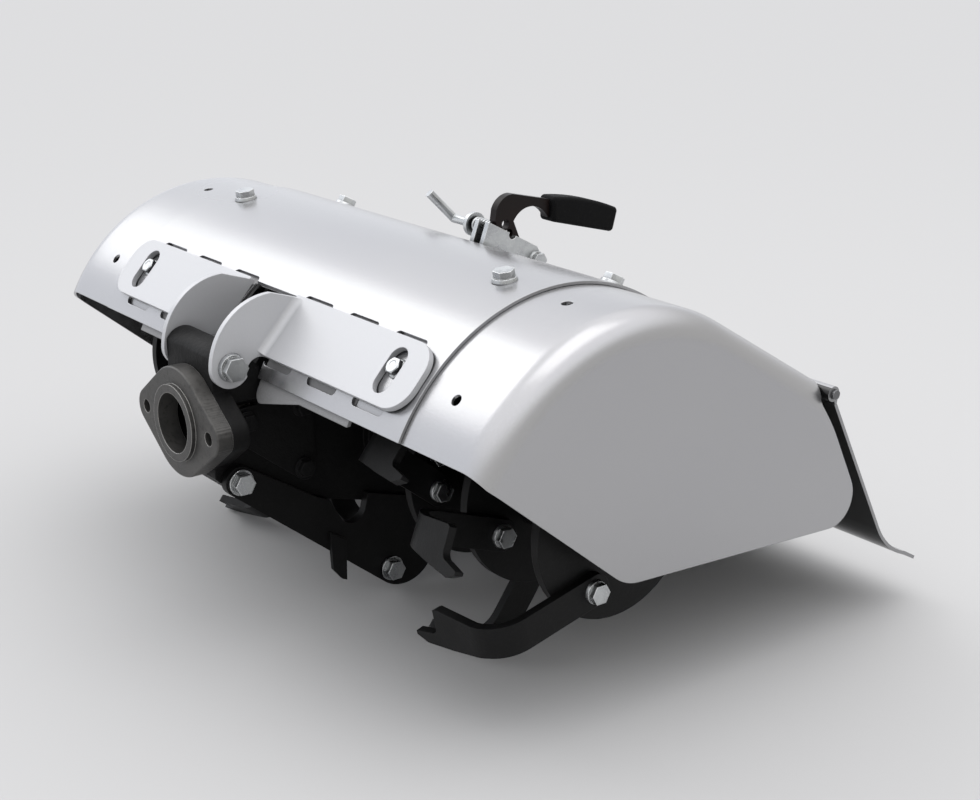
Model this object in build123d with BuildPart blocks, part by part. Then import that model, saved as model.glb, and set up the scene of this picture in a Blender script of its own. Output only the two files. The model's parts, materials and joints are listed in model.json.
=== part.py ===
from build123d import *

import os
from math import asin, atan2, cos, degrees, hypot, radians, sin

os.makedirs("parts", exist_ok=True)

# A rotavator for a two-wheel tractor. Millimetres, +Z up, -Y forward (towards the tractor), +X right.
# The origin is on the ground under the middle of the machine. Nearly everything is measured from the
# middle of the rotor's axle, in a side view whose own axes are rearward and up.

# ---- Driving dimensions -------------------------------------------------------------------------
axle_y = -60.87           # the axle, forward of the middle of the length
heel_run = 143.33         # the heel of a tine's cutting end, along its line
heel_drop = 58.0          # and away from the axle, square to the line
stance = 14.0             # degrees that the lowest tines stand before and behind the bottom
axle_z = hypot(heel_run, heel_drop) * cos(radians(stance))
full_width = 660.0        # over the two end caps
gauge = 2.5               # hood and flap sheet

hood_radius = 171.0       # outside of the rolled hood
hood_width = 467.0        # the middle sheet
front_angle = 27.0        # front edge, counted from straight ahead, over the top
crown_angle = 121.0       # where the roll ends and the flat rear slope begins
slope_down = (sin(radians(crown_angle)), cos(radians(crown_angle)))
rear_run = 137.0          # length of the rear slope
slip = 0.3                # air between two sheets that lap

disc_radius = 77.5        # rotor discs
disc_thickness = 8.0
disc_places = (-297.0, -212.0, -138.0, 138.0, 212.0, 297.0)
tine_width = 31.0
tine_thickness = 7.0

flange_y = -207.0         # front face of the coupling flange
shaft_z = 41.0            # input shaft above the axle
stud_spacing = 104.0      # the two holes of the flange
bore_radius = 25.0        # the flange's bore

case_left = -32.0         # the gearbox case, side to side
case_right = 28.0

spur_x = 34.0             # the depth spur's plane
spur_lean = 23.0          # degrees that it leans, foot to the rear


def at(x, y, z):
    """A place measured from the middle of the axle."""
    return (x, axle_y + y, axle_z + z)


def side(x):
    """The side view's plane at x: its own axes are rearward and up, its normal points right."""
    return Plane(origin=at(x, 0, 0), x_dir=(0, 1, 0), z_dir=(1, 0, 0))


def round_axle(radius, angle):
    """A side view point at an angle from straight ahead, counted over the top."""
    return (-radius * cos(radians(angle)), radius * sin(radians(angle)))


def save(piece, name):
    """Labels a finished piece and writes its file."""
    piece.part.label = name
    export_step(piece.part, "parts/" + name + ".step")


def down_slope(point, run):
    """A side view point that lies further down the rear slope."""
    return tuple(p + run * d for p, d in zip(point, slope_down))


def hood_line(radius, start_angle, run):
    """The hood's line in the side view: the roll, then the slope tangent to it."""
    roll = CenterArc((0, 0), radius, 180 - crown_angle, crown_angle - start_angle)
    slope = Line(roll @ 0, down_slope(round_axle(radius, crown_angle), run))
    return roll, slope


# ---- Hood ---------------------------------------------------------------------------------------
bracket_angle = 42.2      # middle of the bracket plates
bolt_x = 194.0            # bracket bolts and hood bolts
front_bolt_angle = 82.0
rear_bolt_angle = 120.0
notch_half = 37.4         # the gap in the hood's front for the gearbox
notch_angle = 52.0
slot_angles = (32.3, 51.9)
slot_places = (57.0, 121.0, 184.0)
guide_y = 112.0           # the spur guide stands over this place
guide_slot = 12.0         # half width of the hood's slot for the spur
hood_rear = down_slope(round_axle(hood_radius, crown_angle), rear_run)    # its lower rear edge

with BuildPart() as hood:
    with BuildSketch(side(0)):
        with BuildLine():
            hood_line(hood_radius, front_angle, rear_run)
            hood_line(hood_radius - gauge, front_angle, rear_run)
            Line(round_axle(hood_radius, front_angle), round_axle(hood_radius - gauge, front_angle))
            Line(hood_rear, down_slope(round_axle(hood_radius - gauge, crown_angle), rear_run))
        make_face()
    extrude(amount=hood_width / 2, both=True)
    # the notch in the front edge
    with BuildSketch(Plane.XY.offset(axle_z)):
        notch_front = axle_y - hood_radius - 10
        notch_back = axle_y - hood_radius * cos(radians(notch_angle))
        with Locations((0, (notch_front + notch_back) / 2)):
            Rectangle(2 * notch_half, notch_back - notch_front)
    extrude(amount=hood_radius, mode=Mode.SUBTRACT)
    # holes for the bracket bolts and the hood bolts
    for angle in (bracket_angle + 2.3, front_bolt_angle, rear_bolt_angle):
        y, z = round_axle(hood_radius, angle)
        for x in (-bolt_x, bolt_x):
            outward = Plane(origin=at(x, y, z), x_dir=(1, 0, 0), z_dir=(0, y, z))
            with BuildSketch(outward):
                Circle(5.5)
            extrude(amount=10, both=True, mode=Mode.SUBTRACT)
    # short slots along the two long edges of each bracket plate
    for angle in slot_angles:
        y, z = round_axle(hood_radius, angle)
        with BuildSketch(Plane(origin=at(0, y, z), x_dir=(1, 0, 0), z_dir=(0, y, z))):
            with Locations(*[(hand * x, 0) for x in slot_places for hand in (-1, 1)]):
                SlotOverall(40, 9)
        extrude(amount=10, both=True, mode=Mode.SUBTRACT)
    # the slot that the spur passes through
    with BuildSketch(Plane.XY.offset(axle_z + 100)):
        with Locations((spur_x, axle_y + guide_y + 4)):
            Rectangle(2 * guide_slot, 52)
    extrude(amount=60, mode=Mode.SUBTRACT)
save(hood, "hood")

# ---- Hood extensions ----------------------------------------------------------------------------
cap_radius = 16.0         # the pressed corner between the roll and the end cap
lap_x = 168.0             # inner edge, under the hood
outer_r = hood_radius - gauge - slip
inner_r = outer_r - gauge
low_front = (-16.0, -37.5)   # the end cap's lower corners, before they are rounded
low_rear = (254.0, -53.4)
spare_x = 266.5           # a row of three open holes


def extension_block(radius, x_start, x_end, corner, grow):
    """A solid block under the hood's line, with its outer end rounded over."""
    with BuildPart() as block:
        with BuildSketch(side(x_start)):
            with BuildLine():
                roll, slope = hood_line(radius, front_angle - grow, rear_run + grow)
                Line(slope @ 1, (270 + grow, -70 - grow))
                Line((270 + grow, -70 - grow), (-100 - grow, -70 - grow))
                Line((-100 - grow, -70 - grow), roll @ 1)
            make_face()
        extrude(amount=x_end - x_start)
        top = block.faces().sort_by(Axis.X)[-1].edges()
        rim = [e for e in top if e.length > 100 and e.center().Z > axle_z + 40]
        fillet(rim, corner)
    return block


for name, hand in (("hood_extension_right", 1), ("hood_extension_left", -1)):
    outside = extension_block(outer_r, lap_x, full_width / 2, cap_radius, 0)
    inside = extension_block(inner_r, lap_x - 10, full_width / 2 - gauge, cap_radius - gauge, 30)
    with BuildPart() as extension:
        add(outside.part)
        add(inside.part, mode=Mode.SUBTRACT)
        # trimmed along one straight cut in front, a nearly level one below and the rear edge
        with BuildSketch(side(lap_x - 1)) as trim:
            with BuildLine():
                start = round_axle(outer_r + 5, front_angle - 0.6)
                rear_top = down_slope(round_axle(outer_r, crown_angle), rear_run)
                inset = (rear_top[0] + 16 * slope_down[1], rear_top[1] - 16 * slope_down[0])
                Polyline(start, low_front, low_rear, inset, rear_top,
                         (rear_top[0] + 8, rear_top[1] + 12), (200, 300), (-300, 300), (-300, 80), start)
            make_face()
            fillet(trim.vertices().sort_by_distance(low_front)[0:1], 40)
            fillet(trim.vertices().sort_by_distance(low_rear)[0:1], 25)
        extrude(amount=200, mode=Mode.INTERSECT)
        for x, angle, hole in (
            (bolt_x, bracket_angle + 2.3, 5.5), (bolt_x, front_bolt_angle, 5.5),
            (bolt_x, rear_bolt_angle, 5.5), (spare_x, bracket_angle, 4.5),
            (spare_x, front_bolt_angle, 4.5), (spare_x, rear_bolt_angle, 4.5),
        ):
            y, z = round_axle(outer_r, angle)
            with BuildSketch(Plane(origin=at(x, y, z), x_dir=(1, 0, 0), z_dir=(0, y, z))):
                Circle(hole)
            extrude(amount=10, both=True, mode=Mode.SUBTRACT)
        if hand < 0:
            mirror(about=Plane.YZ, mode=Mode.REPLACE)
    save(extension, name)

# ---- Backing sheets under the hood, behind the brackets -------------------------------------------
backing_gauge = 3.0
backing_inner = 39.0
for name, hand in (("bracket_backing_right", 1), ("bracket_backing_left", -1)):
    with BuildPart() as backing:
        with BuildSketch(side(backing_inner)):
            with BuildLine():
                outer_arc = CenterArc((0, 0), outer_r, 180 - 60, 39.5)
                inner_arc = CenterArc((0, 0), outer_r - backing_gauge, 180 - 60, 39.5)
                Line(outer_arc @ 0, inner_arc @ 0)
                Line(outer_arc @ 1, inner_arc @ 1)
            make_face()
        extrude(amount=lap_x - 1 - backing_inner)
        # its lower edge slants, with a round inner corner
        with BuildSketch(Plane(origin=at(0, -210, 0), x_dir=(1, 0, 0), z_dir=(0, -1, 0))) as face:
            Polygon((backing_inner, 160), (backing_inner, 57), (100, 71), (lap_x, 71), (lap_x, 160),
                    align=None)
            fillet(face.vertices().sort_by_distance((backing_inner, 57))[0:1], 9)
        extrude(amount=-150, mode=Mode.INTERSECT)
        if hand < 0:
            mirror(about=Plane.YZ, mode=Mode.REPLACE)
    save(backing, name)

# ---- Hood brackets ------------------------------------------------------------------------------
plate_thickness = 5.0
plate_half = 28.5
plate_inner = 37.0
plate_outer = 229.0
cheek_bolt = (-178.0, 92.0)
cheek_radius = 17.5
tilt_out = (-cos(radians(bracket_angle)), sin(radians(bracket_angle)))    # away from the axle
tilt_up = (sin(radians(bracket_angle)), cos(radians(bracket_angle)))      # along the plate, upwards
plate_base = hood_radius + 0.3


def on_plate(along, out):
    """A side view point on the bracket plate: up along it, and out from the axle."""
    return tuple(out * o + along * u for o, u in zip(tilt_out, tilt_up))


for name, hand in (("bracket_right", 1), ("bracket_left", -1)):
    with BuildPart() as bracket:
        base = on_plate(0, plate_base)
        plate_plane = Plane(origin=at(0, *base), x_dir=(1, 0, 0), z_dir=(0, *tilt_out))
        with BuildSketch(plate_plane):
            with Locations(((plate_inner + plate_outer) / 2, 0)):
                Rectangle(plate_outer - plate_inner, 2 * plate_half)
        extrude(amount=plate_thickness)
        ends = bracket.edges().filter_by(Axis((0, 0, 0), (0, *tilt_out))).sort_by(Axis.X)[-2:]
        fillet(ends, 22)
        with BuildSketch(plate_plane):
            with Locations((bolt_x, 0)):
                SlotCenterToCenter(23, 14, rotation=90)
        extrude(amount=plate_thickness, mode=Mode.SUBTRACT)
        # the cheek, square to the plate, curving down to the lug bolt
        with BuildSketch(side(plate_inner)):
            with BuildLine():
                root_top = on_plate(plate_half, plate_base)
                root_low = on_plate(-plate_half, plate_base)
                nose_top = (-139.0, 146.5)
                tip = (cheek_bolt[0] - cheek_radius, cheek_bolt[1])
                under = (cheek_bolt[0] + 14.0, cheek_bolt[1] - 10.5)
                Line(root_top, nose_top)
                ThreePointArc(nose_top, (-181.5, 127.5), tip)
                ThreePointArc(tip, (cheek_bolt[0], cheek_bolt[1] - cheek_radius), under)
                ThreePointArc(under, (-162.0, 91.5), root_low)
                Line(root_low, root_top)
            make_face()
        extrude(amount=plate_thickness)
        bend = bracket.edges().filter_by(Axis((0, 0, 0), (0, *tilt_up))).filter_by_position(
            Axis.X, plate_inner + plate_thickness - 0.1, plate_inner + plate_thickness + 0.1)
        fillet(bend, 7)
        with BuildSketch(side(plate_inner)):
            with Locations(cheek_bolt):
                Circle(6.2)
        extrude(amount=plate_thickness, mode=Mode.SUBTRACT)
        if hand < 0:
            mirror(about=Plane.YZ, mode=Mode.REPLACE)
    save(bracket, name)


# ---- Flanged bolts ------------------------------------------------------------------------------
def flange_bolt(plane, flange_r, across_flats, head, shank_r, grip, nut=7.0):
    """A flanged hexagon head standing on the plane, its shank going down to a nut under the grip."""
    with BuildPart() as bolt:
        with BuildSketch(plane):
            Circle(flange_r)
        extrude(amount=head * 0.35, taper=18)
        with BuildSketch(plane):
            RegularPolygon(across_flats / 2, 6, major_radius=False)
        extrude(amount=head)
        with BuildSketch(plane):
            Circle(shank_r)
        extrude(amount=-grip - nut - 1.5)
        with BuildSketch(plane.offset(-grip)):
            RegularPolygon(across_flats / 2, 6, major_radius=False)
        extrude(amount=-nut)
    return bolt


sheets = 2 * gauge + slip + 0.3
with BuildPart() as hood_bolts:
    for angle in (front_bolt_angle, rear_bolt_angle):
        y, z = round_axle(hood_radius, angle)
        for x in (-bolt_x, bolt_x):
            stand = Plane(origin=at(x, y, z), x_dir=(1, 0, 0), z_dir=(0, y, z))
            add(flange_bolt(stand, 10.5, 15.0, 8.5, 4.8, sheets, 4.5).part)
save(hood_bolts, "hood_bolts")

with BuildPart() as bracket_bolts:
    for x in (-bolt_x, bolt_x):
        y, z = on_plate(7.0, plate_base + plate_thickness)
        stand = Plane(origin=at(x, y, z), x_dir=(1, 0, 0), z_dir=(0, *tilt_out))
        add(flange_bolt(stand, 11.0, 16.0, 9.0, 4.8, plate_thickness + sheets + 1.5, 4.5).part)
save(bracket_bolts, "bracket_bolts")

# ---- Gearbox ------------------------------------------------------------------------------------
lug_radius = 17.0
case_radius = 74.0
case_wall = 9.0
lug_half = plate_inner - 0.5
collar_depth = 15.0
recess_depth = 42.0       # the well that the coupler turns in
input_shaft_r = 12.0
stud_places = ((-stud_spacing / 2, 0), (stud_spacing / 2, 0))
stud_hole_r = 5.75
axle_shaft_r = 25.0

with BuildPart() as housing:
    with BuildSketch(side(case_left)):
        Circle(case_radius)
        # the neck, from the top of the round case forward, down its front and back underneath
        Polygon((-10, case_radius - 0.7), (-60, 92), (-140, 96), (-150, 84), (-190, 84), (-190, -4),
                (-176, -18), (-87, -46), (-50, -56.5), (-10, -case_radius + 0.7), align=None)
    extrude(amount=case_right - case_left)
    fillet(housing.edges().group_by(Axis.X)[0], 6)
    # the neck is cast hollow behind the input shaft's bearing
    with BuildSketch(side(case_left + case_wall)):
        Polygon((-126, 83), (-60, 81), (-46, 60), (-46, -46), (-87, -36), (-126, -24), align=None)
    extrude(amount=case_right - case_left - 2 * case_wall, mode=Mode.SUBTRACT)
    # the lug between the two cheeks
    with BuildSketch(side(-lug_half)):
        with Locations(cheek_bolt):
            Circle(lug_radius)
        Polygon((cheek_bolt[0] - lug_radius, cheek_bolt[1]), (cheek_bolt[0] - lug_radius, 60), (-150, 60),
                (-150, 86), (cheek_bolt[0] + 10, cheek_bolt[1] + 13.7), align=None)
    extrude(amount=2 * lug_half)
    # the flange's collar, with its two stud holes
    collar_face = Plane(origin=at(0, -193, shaft_z), x_dir=(1, 0, 0), z_dir=(0, -1, 0))
    with BuildSketch(collar_face):
        Circle(46)
        with Locations(*stud_places):
            Circle(15)
        make_hull()
    extrude(amount=-collar_depth)
    with BuildSketch(collar_face):
        with Locations(*stud_places):
            Circle(stud_hole_r)
    extrude(amount=-collar_depth, mode=Mode.SUBTRACT)
    # the coupler's well, and the input shaft's bearing behind it
    with BuildSketch(collar_face):
        Circle(31)
    extrude(amount=-recess_depth, mode=Mode.SUBTRACT)
    with BuildSketch(collar_face.offset(-recess_depth)):
        Circle(input_shaft_r + 0.05)
    extrude(amount=-25, mode=Mode.SUBTRACT)
    # nothing of the neck stands before the collar
    with BuildSketch(collar_face):
        Rectangle(160, 160)
    extrude(amount=30, mode=Mode.SUBTRACT)
    # hubs of the axle, and its bore
    for x, way in ((case_left, -1), (case_right, 1)):
        with BuildSketch(side(x)):
            Circle(46)
        extrude(amount=way * 8)
    with BuildSketch(side(-60)):
        Circle(axle_shaft_r + 0.05)
    extrude(amount=120, mode=Mode.SUBTRACT)
    with BuildSketch(side(-60)):
        with Locations(cheek_bolt):
            Circle(6.2)
    extrude(amount=120, mode=Mode.SUBTRACT)
save(housing, "gearbox_housing")

flange_depth = 14.0
with BuildPart() as flange:
    front = Plane(origin=at(0, flange_y, shaft_z), x_dir=(1, 0, 0), z_dir=(0, -1, 0))
    with BuildSketch(front):
        Circle(46)
        with Locations(*stud_places):
            Circle(15)
        make_hull()
    extrude(amount=-flange_depth)
    fillet(flange.edges().group_by(Axis.Y)[0], 1.5)
    with BuildSketch(front):
        Circle(32)
    extrude(amount=4)
    with BuildSketch(front.offset(4)):
        Circle(bore_radius)
    extrude(amount=-flange_depth - 4, mode=Mode.SUBTRACT)
    with BuildSketch(front):
        with Locations(*stud_places):
            Circle(stud_hole_r)
    extrude(amount=-flange_depth, mode=Mode.SUBTRACT)
save(flange, "pto_flange")

coupler_r = 25.5
coupler_body = 22.0
with BuildPart() as coupler:
    back = Plane(origin=at(0, -152, shaft_z), x_dir=(1, 0, 0), z_dir=(0, -1, 0))
    with BuildSketch(back):
        Circle(coupler_r)
    extrude(amount=coupler_body)
    # three dogs stand on its face
    with BuildSketch(back.offset(coupler_body)):
        Circle(coupler_r)
        Circle(14, mode=Mode.SUBTRACT)
        with PolarLocations(0, 3, start_angle=30):
            with Locations((20, 0)):
                Rectangle(14, 13, mode=Mode.SUBTRACT)
    extrude(amount=12)
    with BuildSketch(back):
        Circle(input_shaft_r)
    extrude(amount=-20)
save(coupler, "drive_coupler")

cover_thickness = 5.0
with BuildPart() as cover:
    with BuildSketch(side(case_right)) as cover_shape:
        Polygon((-98, 56), (-172, 52), (-172, 26), (-98, -32), align=None)
        fillet(cover_shape.vertices(), 9)
    extrude(amount=cover_thickness)
save(cover, "gearbox_cover")

with BuildPart() as case_bolts:
    for y, z in ((-162, 41), (-110, 44), (-110, -10)):
        stand = Plane(origin=at(case_right + cover_thickness, y, z), x_dir=(0, 1, 0), z_dir=(1, 0, 0))
        with BuildSketch(stand):
            Circle(9)
        extrude(amount=2.5)
        with BuildSketch(stand.offset(2.5)):
            RegularPolygon(6.5, 6, major_radius=False)
        extrude(amount=5.5)
save(case_bolts, "gearbox_bolts")

with BuildPart() as lug_bolt:
    stand = Plane(origin=at(plate_inner + plate_thickness, *cheek_bolt), x_dir=(0, 1, 0), z_dir=(1, 0, 0))
    add(flange_bolt(stand, 12.0, 18.0, 10.0, 6.0, 2 * (plate_inner + plate_thickness), 10.0).part)
save(lug_bolt, "cheek_bolt")

# ---- Hood stay, centre share and its tooth --------------------------------------------------------
with BuildPart() as stay:
    with BuildSketch(side(-5)):
        with BuildLine():
            stay_top = CenterArc((0, 0), hood_radius - gauge - slip, 72, 20)
            stay_root = CenterArc((0, 0), case_radius + 0.1, 72, 20)
            Line(stay_top @ 0, stay_root @ 0)
            Line(stay_top @ 1, stay_root @ 1)
        make_face()
    extrude(amount=10)
save(stay, "hood_stay")

share_inner = case_right + 0.2
share_thickness = 8.0
share_bolt_places = ((-172.0, -8.0), (-26.0, -124.0))
with BuildPart() as share:
    # a plate on the right of the case: from the front bolt down and back to a round end under the
    # axle, and up beside the case, with a dip under the neck that can be seen through
    with BuildSketch(side(share_inner)):
        with BuildLine():
            Line((-180.5, -18), (-34, -135))
            ThreePointArc((-34, -135), (-12, -143.5), (12, -134))
            ThreePointArc((12, -134), (20, -118), (17, -100))
            Polyline((17, -100), (12, -66), (-48, -48), (-51, -60))
            ThreePointArc((-51, -60), (-64, -71.5), (-76, -65))
            Polyline((-76, -65), (-88, -44), (-98, -40), (-164, 2))
            ThreePointArc((-164, 2), (-182.5, -0.5), (-180.5, -18))
        make_face()
        with Locations(*share_bolt_places):
            Circle(6.1, mode=Mode.SUBTRACT)
    extrude(amount=share_thickness)
save(share, "centre_share")

tooth_thickness = 4.0
with BuildPart() as tooth:
    with BuildSketch(side(share_inner + share_thickness)):
        Polygon((-90, -73), (-74, -83), (-74.5, -121), (-79, -119), (-88, -108), align=None)
    extrude(amount=tooth_thickness)
save(tooth, "centre_tooth")

with BuildPart() as share_bolts:
    for y, z in share_bolt_places:
        stand = Plane(origin=at(share_inner + share_thickness, y, z), x_dir=(0, 1, 0), z_dir=(1, 0, 0))
        with BuildSketch(stand):
            Circle(11)
        extrude(amount=3)
        with BuildSketch(stand.offset(3)):
            RegularPolygon(8, 6, major_radius=False)
        extrude(amount=7)
        with BuildSketch(stand):
            Circle(6)
        extrude(amount=-share_thickness)
save(share_bolts, "share_bolts")

# ---- Depth spur ---------------------------------------------------------------------------------
bar_half = 9.0
bar_thickness = 8.0
lean = radians(spur_lean)
spur_down = (sin(lean), -cos(lean))          # along the bar, towards the foot
spur_back = (cos(lean), sin(lean))           # across the bar, rearward
spur_top = (98.3, 175.5)                     # where the bar runs into its hook, on its middle line
hole_pitch = 17.5


def on_spur(along, across):
    """A side view point on the bar: down from its top, and rearward across it."""
    return tuple(p + along * d + across * b for p, d, b in zip(spur_top, spur_down, spur_back))


sole_thickness = 4.0
shoe_half = 22.0
foot_drop = (spur_top[1] + axle_z - sole_thickness) / cos(lean)

with BuildPart() as spur:
    with BuildSketch(side(spur_x - bar_thickness / 2)):
        with BuildLine():
            toe = bar_half * sin(lean) / cos(lean)
            Polyline(on_spur(0, -bar_half), on_spur(foot_drop - toe, -bar_half),
                     on_spur(foot_drop + toe, bar_half),
                     on_spur(10, bar_half), on_spur(0, -bar_half))
        make_face()
        # the hook with its round notch, and the tongue inside the grip
        with BuildLine():
            Line(on_spur(10, bar_half), on_spur(0, -bar_half))
            Line(on_spur(0, -bar_half), (91.5, 182))
            ThreePointArc((91.5, 182), (98, 190.5), (110, 194))
            Line((110, 194), (228, 166))
            Line((228, 166), (224, 153))
            Line((224, 153), (149.5, 168))
            ThreePointArc((149.5, 168), (131, 180.5), on_spur(10, bar_half))
        make_face()
    extrude(amount=bar_thickness)
    with BuildSketch(side(spur_x - bar_thickness / 2)):
        with Locations((101.5, 168), *[on_spur(step * hole_pitch, 0) for step in range(1, 9)]):
            Circle(4.2)
    extrude(amount=bar_thickness, mode=Mode.SUBTRACT)
save(spur, "depth_spur")

with BuildPart() as grip:
    with BuildSketch(side(spur_x)) as grip_side:
        with BuildLine():
            Line((151, 187), (151, 164.5))
            Line((151, 164.5), (223, 145.5))
            Line((223, 145.5), (229, 167))
            ThreePointArc((229, 167), (194, 179.5), (151, 187))
        make_face()
        fillet(grip_side.vertices(), 4)
    extrude(amount=10.5, both=True)
    fillet(grip.edges().group_by(Axis.X)[0] + grip.edges().group_by(Axis.X)[-1], 3.5)
    with BuildSketch(side(spur_x - bar_thickness / 2)):
        with BuildLine():
            Polyline((149.5, 168), (224, 153), (228, 166), (110, 194), (149.5, 168))
        make_face()
    extrude(amount=bar_thickness, mode=Mode.SUBTRACT)
save(grip, "spur_grip")

with BuildPart() as shoe:
    foot_y = on_spur(foot_drop, 0)[0]
    sole_low = -axle_z
    with BuildSketch(side(spur_x - shoe_half)):
        with BuildLine():
            front_low, rear_low = (foot_y - 24, sole_low), (foot_y + 26, sole_low)
            Polyline((foot_y - 36, sole_low + 10), (foot_y - 38, sole_low + 13.5),
                     (foot_y - 25, sole_low + sole_thickness), (foot_y + 26, sole_low + sole_thickness),
                     rear_low, front_low, (foot_y - 36, sole_low + 10))
        make_face()
    extrude(amount=2 * shoe_half)
save(shoe, "spur_shoe")

# ---- Spur guide, lock pin and spring ------------------------------------------------------------
pin_place = on_spur(hole_pitch, 0)
guide_bolt_place = (131.5, 133.0)
guide_thickness = 5.0
with BuildPart() as guide:
    for x in (spur_x - bar_thickness / 2 - 0.5 - guide_thickness, spur_x + bar_thickness / 2 + 0.5):
        with BuildSketch(side(x)):
            with BuildLine():
                seat_r = hood_radius + slip
                base_front = round_axle(seat_r, 114.9)
                base_crown = round_axle(seat_r, crown_angle)
                base_rear = down_slope(base_crown, 58)
                ThreePointArc(base_front, round_axle(seat_r, 118), base_crown)
                Polyline(base_crown, base_rear, (140, 131), (133, 145), (79, 174), base_front)
            make_face()
        extrude(amount=guide_thickness)
    with BuildSketch(side(spur_x - 10)):
        with Locations(pin_place, guide_bolt_place):
            Circle(4.05)
    extrude(amount=20, mode=Mode.SUBTRACT)
save(guide, "spur_guide")

with BuildPart() as guide_bolt:
    stand = Plane(origin=at(spur_x + 9.5, *guide_bolt_place), x_dir=(0, 1, 0), z_dir=(1, 0, 0))
    add(flange_bolt(stand, 8.5, 13.0, 7.0, 4.0, 19, 6.5).part)
save(guide_bolt, "guide_bolt")

pin_tip = spur_x - bar_thickness / 2 - 0.5
with BuildPart() as pin:
    # a round rod with its handle bent up and forward
    with BuildLine() as pin_line:
        tip_end = at(pin_tip, *pin_place)
        elbow = at(-42, *pin_place)
        Line(tip_end, elbow)
        Line(elbow, at(-50, pin_place[0] - 22, pin_place[1] + 25))
    with BuildSketch(Plane(origin=tip_end, z_dir=(-1, 0, 0))):
        Circle(4.0)
    sweep(path=pin_line.wires()[0], transition=Transition.ROUND)
    with BuildSketch(side(-14)):
        with Locations(pin_place):
            Circle(11)
            Circle(4.0, mode=Mode.SUBTRACT)
    extrude(amount=4)
save(pin, "lock_pin")

with BuildPart() as spring:
    with BuildSketch(side(-9.5)):
        with Locations(pin_place):
            Circle(7.5)
            Circle(4.3, mode=Mode.SUBTRACT)
    extrude(amount=33)
save(spring, "pin_spring")

# ---- Rear flap ----------------------------------------------------------------------------------
hinge = (209.0, 65.0)
flap_gauge = 3.0
flap_half = 326.0
knuckle_r = 6.5
ear_thickness = 4.0
ear_places = (-290.0, -200.0, -100.0, 0.0, 100.0, 200.0, 290.0)
with BuildPart() as flap:
    with BuildSketch(side(-flap_half)):
        with BuildLine():
            top = Line((212, 56), (279, -70))
            TangentArc((279, -70), (318, -103), tangent=top % 1)
            Line((318, -103), (332, -111))
        trace(line_width=flap_gauge)
    extrude(amount=2 * flap_half)
    with BuildSketch(side(-flap_half)):
        with Locations(hinge):
            Circle(knuckle_r)
        Polygon((210.7, 56.7), (213.3, 55.3), (hinge[0] + 5.5, hinge[1] - 2), (hinge[0] + 1, hinge[1] - 5),
                align=None)
        with Locations(hinge):
            Circle(4.05, mode=Mode.SUBTRACT)
    extrude(amount=2 * flap_half)
    # gaps between the knuckles for the hinge ears
    for x in ear_places:
        with BuildSketch(side(x - ear_thickness / 2 - 3)):
            with Locations(hinge):
                Circle(knuckle_r + 4.5)
        extrude(amount=ear_thickness + 6, mode=Mode.SUBTRACT)
save(flap, "rear_flap")

with BuildPart() as ears:
    for x in ear_places:
        under = gauge + 0.3 if abs(x) < lap_x else 2 * gauge + slip + 0.3
        near = down_slope(hood_rear, -4)
        near = (near[0] + under * slope_down[1], near[1] - under * slope_down[0])
        with BuildSketch(side(x - ear_thickness / 2)):
            Polygon(near, down_slope(near, -34), (hinge[0] - 8, hinge[1] - 4), (hinge[0] + 3, hinge[1] - 4),
                    align=None)
            with Locations(hinge):
                Circle(knuckle_r)
                Circle(4.0, mode=Mode.SUBTRACT)
        extrude(amount=ear_thickness)
save(ears, "flap_ears")

with BuildPart() as rod:
    with BuildSketch(side(-flap_half - 3)):
        with Locations(hinge):
            Circle(4)
    extrude(amount=2 * flap_half + 6)
save(rod, "flap_hinge_rod")

# ---- Rotor --------------------------------------------------------------------------------------
with BuildPart() as axle:
    with BuildSketch(side(-305)):
        Circle(axle_shaft_r)
    extrude(amount=610)
    for x in (-305, 44):
        with BuildSketch(side(x)):
            Circle(30)
        extrude(amount=261)
save(axle, "rotor_axle")

# Tines. A tine is a flat bar on a disc's face, bent sideways past the rim, with a notched cutting end.
# Its line passes the axle at a distance, so the tip trails; its pitch is counted down from straight ahead.
hole_run = 37.0           # the bolt hole, along the line and away from the axle
hole_drop = 40.0
root_radius = 14.0
bend_start = 104.0
bend_radius = 28.0
bend_angle = 80.6
blade_run = 61.0

beak_run = 145.2          # the beak, the cutting end's other low corner
beak_drop = 53.0
front_pitch = 90 - stance - degrees(atan2(heel_drop, heel_run))
rear_pitch = 180 - degrees(asin(axle_z / hypot(beak_run, beak_drop)) + atan2(beak_drop, beak_run))

# disc number, face that carries the tine (+1 right), way it bends, pitch of the first of each opposite pair
tine_table = (
    (1, -1, 1, 112), (2, 1, 1, 124), (2, -1, -1, 88), (3, 1, 1, rear_pitch), (3, -1, -1, front_pitch),
    (4, -1, -1, 112), (4, 1, 1, 142), (5, -1, -1, front_pitch), (5, 1, 1, -20), (6, 1, -1, 13),
)


def tine_hole(pitch):
    """A side view point: the bolt hole of a tine."""
    turn = radians(pitch)
    return (-hole_run * cos(turn) + hole_drop * sin(turn), -hole_run * sin(turn) - hole_drop * cos(turn))


hub_r = 30.0
for number, x in enumerate(disc_places, start=1):
    pitches = [row[3] for row in tine_table if row[0] == number]
    with BuildPart() as disc:
        with BuildSketch(side(x - disc_thickness / 2)):
            Circle(disc_radius)
            Circle(hub_r, mode=Mode.SUBTRACT)
            with Locations(*[tine_hole(pitch + half) for pitch in pitches for half in (0, 180)]):
                Circle(5.1, mode=Mode.SUBTRACT)
        extrude(amount=disc_thickness)
    save(disc, "rotor_disc_%d" % number)

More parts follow.
